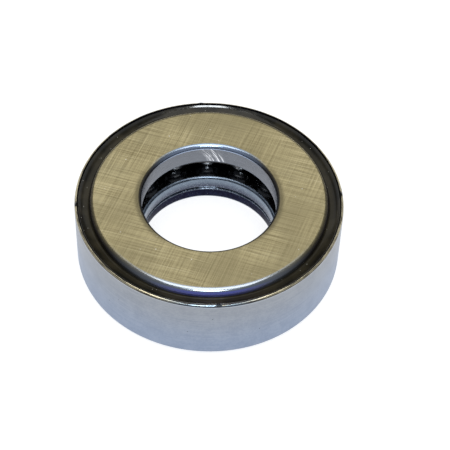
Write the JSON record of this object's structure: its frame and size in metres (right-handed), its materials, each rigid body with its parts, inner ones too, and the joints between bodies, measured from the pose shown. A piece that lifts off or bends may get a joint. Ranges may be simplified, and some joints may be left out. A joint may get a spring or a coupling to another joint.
{
  "type": "thrust ball bearing",
  "caption": "Thrust ball bearing with a drawn steel shell: a ground upper washer turns on caged balls over a fixed lower washer, with a plain bore for a pin.",
  "frame": {"origin": "on the bearing axis, in the flat underside of the shell", "axes": "+Z along the bearing axis, up out of the ground face of the upper washer; +X through the centre of ball_01 at rest"},
  "size_m": [0.052, 0.052, 0.0154],
  "materials": {
    "shell_steel": "satin, drawn and polished",
    "face_steel": "cross-ground face under a film of oil, dark oily channel",
    "race_steel": "hardened and ground, oiled",
    "cage_steel": "pressed sheet, dark oxide",
    "ball_steel": "polished"
  },
  "bodies": {
    "fixed_race": {"outer_shell": "shell_steel", "lower_washer": "race_steel"},
    "upper_race": {"upper_washer": "face_steel"},
    "cage_ring": {"cage": "cage_steel"},
    "ball_01": {"ball_01": "ball_steel"},
    "ball_02": {"ball_02": "ball_steel"},
    "ball_03": {"ball_03": "ball_steel"},
    "ball_04": {"ball_04": "ball_steel"},
    "ball_05": {"ball_05": "ball_steel"},
    "ball_06": {"ball_06": "ball_steel"},
    "ball_07": {"ball_07": "ball_steel"},
    "ball_08": {"ball_08": "ball_steel"},
    "ball_09": {"ball_09": "ball_steel"},
    "ball_10": {"ball_10": "ball_steel"},
    "ball_11": {"ball_11": "ball_steel"},
    "ball_12": {"ball_12": "ball_steel"},
    "ball_13": {"ball_13": "ball_steel"},
    "ball_14": {"ball_14": "ball_steel"},
    "ball_15": {"ball_15": "ball_steel"},
    "ball_16": {"ball_16": "ball_steel"}
  },
  "joints": [
    {"name": "upper_washer_spin", "type": "hinge", "parent": "fixed_race", "child": "upper_race", "pos_m": [0, 0, 0.0108], "axis": [0, 0, 1], "continuous": true},
    {"name": "cage_spin", "type": "hinge", "parent": "fixed_race", "child": "cage_ring", "pos_m": [0, 0, 0.009], "axis": [0, 0, 1], "continuous": true},
    {"name": "ball_01_roll", "type": "hinge", "parent": "cage_ring", "child": "ball_01", "pos_m": [0.01825, 0, 0.0084], "axis": [1, 0, 0], "continuous": true},
    {"name": "ball_02_roll", "type": "hinge", "parent": "cage_ring", "child": "ball_02", "pos_m": [0.01686, 0.00698, 0.0084], "axis": [0.9239, 0.3827, 0], "continuous": true},
    {"name": "ball_03_roll", "type": "hinge", "parent": "cage_ring", "child": "ball_03", "pos_m": [0.0129, 0.0129, 0.0084], "axis": [0.7071, 0.7071, 0], "continuous": true},
    {"name": "ball_04_roll", "type": "hinge", "parent": "cage_ring", "child": "ball_04", "pos_m": [0.00698, 0.01686, 0.0084], "axis": [0.3827, 0.9239, 0], "continuous": true},
    {"name": "ball_05_roll", "type": "hinge", "parent": "cage_ring", "child": "ball_05", "pos_m": [0, 0.01825, 0.0084], "axis": [0, 1, 0], "continuous": true},
    {"name": "ball_06_roll", "type": "hinge", "parent": "cage_ring", "child": "ball_06", "pos_m": [-0.00698, 0.01686, 0.0084], "axis": [-0.3827, 0.9239, 0], "continuous": true},
    {"name": "ball_07_roll", "type": "hinge", "parent": "cage_ring", "child": "ball_07", "pos_m": [-0.0129, 0.0129, 0.0084], "axis": [-0.7071, 0.7071, 0], "continuous": true},
    {"name": "ball_08_roll", "type": "hinge", "parent": "cage_ring", "child": "ball_08", "pos_m": [-0.01686, 0.00698, 0.0084], "axis": [-0.9239, 0.3827, 0], "continuous": true},
    {"name": "ball_09_roll", "type": "hinge", "parent": "cage_ring", "child": "ball_09", "pos_m": [-0.01825, 0, 0.0084], "axis": [-1, 0, 0], "continuous": true},
    {"name": "ball_10_roll", "type": "hinge", "parent": "cage_ring", "child": "ball_10", "pos_m": [-0.01686, -0.00698, 0.0084], "axis": [-0.9239, -0.3827, 0], "continuous": true},
    {"name": "ball_11_roll", "type": "hinge", "parent": "cage_ring", "child": "ball_11", "pos_m": [-0.0129, -0.0129, 0.0084], "axis": [-0.7071, -0.7071, 0], "continuous": true},
    {"name": "ball_12_roll", "type": "hinge", "parent": "cage_ring", "child": "ball_12", "pos_m": [-0.00698, -0.01686, 0.0084], "axis": [-0.3827, -0.9239, 0], "continuous": true},
    {"name": "ball_13_roll", "type": "hinge", "parent": "cage_ring", "child": "ball_13", "pos_m": [0, -0.01825, 0.0084], "axis": [0, -1, 0], "continuous": true},
    {"name": "ball_14_roll", "type": "hinge", "parent": "cage_ring", "child": "ball_14", "pos_m": [0.00698, -0.01686, 0.0084], "axis": [0.3827, -0.9239, 0], "continuous": true},
    {"name": "ball_15_roll", "type": "hinge", "parent": "cage_ring", "child": "ball_15", "pos_m": [0.0129, -0.0129, 0.0084], "axis": [0.7071, -0.7071, 0], "continuous": true},
    {"name": "ball_16_roll", "type": "hinge", "parent": "cage_ring", "child": "ball_16", "pos_m": [0.01686, -0.00698, 0.0084], "axis": [0.9239, -0.3827, 0], "continuous": true}
  ],
  "couplings": [
    {"joint": "cage_spin", "follows": "upper_washer_spin", "ratio": 0.5},
    {"joint": "ball_01_roll", "follows": "upper_washer_spin", "ratio": -2.874},
    {"joint": "ball_02_roll", "follows": "upper_washer_spin", "ratio": -2.874},
    {"joint": "ball_03_roll", "follows": "upper_washer_spin", "ratio": -2.874},
    {"joint": "ball_04_roll", "follows": "upper_washer_spin", "ratio": -2.874},
    {"joint": "ball_05_roll", "follows": "upper_washer_spin", "ratio": -2.874},
    {"joint": "ball_06_roll", "follows": "upper_washer_spin", "ratio": -2.874},
    {"joint": "ball_07_roll", "follows": "upper_washer_spin", "ratio": -2.874},
    {"joint": "ball_08_roll", "follows": "upper_washer_spin", "ratio": -2.874},
    {"joint": "ball_09_roll", "follows": "upper_washer_spin", "ratio": -2.874},
    {"joint": "ball_10_roll", "follows": "upper_washer_spin", "ratio": -2.874},
    {"joint": "ball_11_roll", "follows": "upper_washer_spin", "ratio": -2.874},
    {"joint": "ball_12_roll", "follows": "upper_washer_spin", "ratio": -2.874},
    {"joint": "ball_13_roll", "follows": "upper_washer_spin", "ratio": -2.874},
    {"joint": "ball_14_roll", "follows": "upper_washer_spin", "ratio": -2.874},
    {"joint": "ball_15_roll", "follows": "upper_washer_spin", "ratio": -2.874},
    {"joint": "ball_16_roll", "follows": "upper_washer_spin", "ratio": -2.874}
  ]
}
